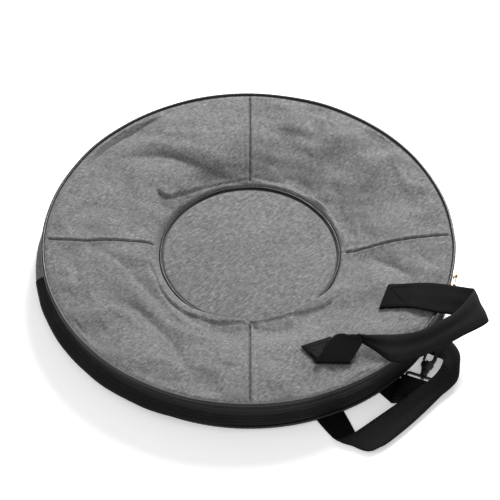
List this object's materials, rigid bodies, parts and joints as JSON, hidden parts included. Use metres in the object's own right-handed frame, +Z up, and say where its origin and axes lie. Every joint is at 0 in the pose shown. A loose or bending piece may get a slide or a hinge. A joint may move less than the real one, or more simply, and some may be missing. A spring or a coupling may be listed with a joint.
{
  "type": "handpan carrying case",
  "caption": "Round soft carrying case for a handpan, lying empty: padded zippered shell with sunken centre disc, webbing handles and hooked shoulder strap.",
  "frame": {"origin": "centre of the case's round underside, at the level it rests on", "axes": "+Z up through the centre disc; lid seams along X and Y; fold of the lid parallel to X; handles between +X and -Y"},
  "size_m": [0.6125, 0.6494, 0.064],
  "materials": {
    "grey_oxford": "heather grey Oxford cloth",
    "black_fabric": "black Oxford cloth",
    "black_webbing": "black polypropylene webbing",
    "piping": "black satin piping",
    "foam": "closed-cell foam padding",
    "lining": "black brushed lining",
    "coil": "black nylon coil",
    "gold_metal": "pale gold plated zinc",
    "hardware_plastic": "black acetal"
  },
  "bodies": {
    "base": {"back_left_panel": "grey_oxford", "back_right_panel": "grey_oxford", "back_side_wall": "grey_oxford", "bottom_foam": "foam", "bottom_lining": "lining", "bottom_panel": "grey_oxford", "bottom_piping": "piping", "centre_disc_back": "grey_oxford", "d_ring_back": "hardware_plastic", "d_ring_front": "hardware_plastic", "d_ring_tab_back": "black_webbing", "d_ring_tab_front": "black_webbing", "disc_piping_back": "piping", "front_left_panel_root": "grey_oxford", "front_right_panel_root": "grey_oxford", "lid_foam_back": "foam", "lid_lining_back": "lining", "lower_handle_front_end": "black_webbing", "lower_handle_side_end": "black_webbing", "lower_side_band": "black_fabric", "lower_zipper_coil": "coil", "lower_zipper_tape": "black_fabric", "rim_piping_back": "piping", "shoulder_strap": "black_webbing", "swivel_eye_back": "hardware_plastic", "swivel_eye_front": "hardware_plastic", "zipper_end_tab_left": "black_fabric", "zipper_end_tab_right": "black_fabric"},
    "lid_flap": {"centre_disc_front": "grey_oxford", "disc_piping_front": "piping", "front_left_panel": "grey_oxford", "front_right_panel": "grey_oxford", "lid_foam_front": "foam", "lid_lining_front": "lining", "rim_piping_front": "piping", "upper_handle_front_end": "black_webbing", "upper_handle_side_end": "black_webbing", "upper_side_band": "black_fabric", "upper_zipper_coil": "coil", "upper_zipper_tape": "black_fabric"},
    "upper_handle": {"upper_handle_loop": "black_webbing"},
    "lower_handle": {"lower_handle_loop": "black_webbing"},
    "slider_a": {"zipper_slider_a": "gold_metal"},
    "slider_b": {"zipper_slider_b": "gold_metal"},
    "pull_a": {"zipper_pull_a": "gold_metal"},
    "pull_b": {"zipper_pull_b": "gold_metal"},
    "hook_front": {"snap_hook_front": "hardware_plastic"},
    "hook_back": {"snap_hook_back": "hardware_plastic"},
    "gate_front": {"hook_gate_front": "hardware_plastic"},
    "gate_back": {"hook_gate_back": "hardware_plastic"}
  },
  "joints": [
    {"name": "lid_fold", "type": "hinge", "parent": "base", "child": "lid_flap", "pos_m": [0, -0.042, 0.06], "axis": [-1, 0, 0], "range_deg": [0, 70]},
    {"name": "upper_handle_swing", "type": "hinge", "parent": "lid_flap", "child": "upper_handle", "pos_m": [0.1525, -0.1735, 0.0645], "axis": [-0.8235, -0.5673, 0], "range_deg": [0, 100]},
    {"name": "lower_handle_swing", "type": "hinge", "parent": "base", "child": "lower_handle", "pos_m": [0.20353, -0.21077, 0.012], "axis": [-0.7193, -0.6947, 0], "range_deg": [0, 55]},
    {"name": "slider_a_travel", "type": "hinge", "parent": "base", "child": "slider_a", "pos_m": [0, 0, 0.0425], "axis": [0, 0, 1], "range_deg": [-155, 0]},
    {"name": "slider_b_travel", "type": "hinge", "parent": "base", "child": "slider_b", "pos_m": [0, 0, 0.0425], "axis": [0, 0, 1], "range_deg": [0, 1.2]},
    {"name": "pull_a_swing", "type": "hinge", "parent": "slider_a", "child": "pull_a", "pos_m": [0.28425, -0.07351, 0.0425], "axis": [-0.2504, -0.9681, 0], "range_deg": [0, 120]},
    {"name": "pull_b_swing", "type": "hinge", "parent": "slider_b", "child": "pull_b", "pos_m": [0.28821, -0.05602, 0.0425], "axis": [-0.1908, -0.9816, 0], "range_deg": [0, 120]},
    {"name": "hook_front_swivel", "type": "hinge", "parent": "base", "child": "hook_front", "pos_m": [0.24, -0.192, 0.0093], "axis": [0.3654, 0.9045, 0.2198], "range_deg": [-15, 15]},
    {"name": "gate_front_press", "type": "hinge", "parent": "hook_front", "child": "gate_front", "pos_m": [0.23753, -0.17943, 0.01172], "axis": [0.0824, 0.2038, -0.9755], "range_deg": [0, 20], "stiffness_Nm_per_rad": 0.05, "springref_deg": -17.19},
    {"name": "hook_back_swivel", "type": "hinge", "parent": "base", "child": "hook_back", "pos_m": [-0.13637, 0.27544, 0.0093], "axis": [-0.7135, -0.6653, 0.2198], "range_deg": [-15, 15]},
    {"name": "gate_back_press", "type": "hinge", "parent": "hook_back", "child": "gate_back", "pos_m": [-0.13945, 0.263, 0.01172], "axis": [-0.1608, -0.1499, -0.9755], "range_deg": [0, 20], "stiffness_Nm_per_rad": 0.05, "springref_deg": -17.19}
  ]
}
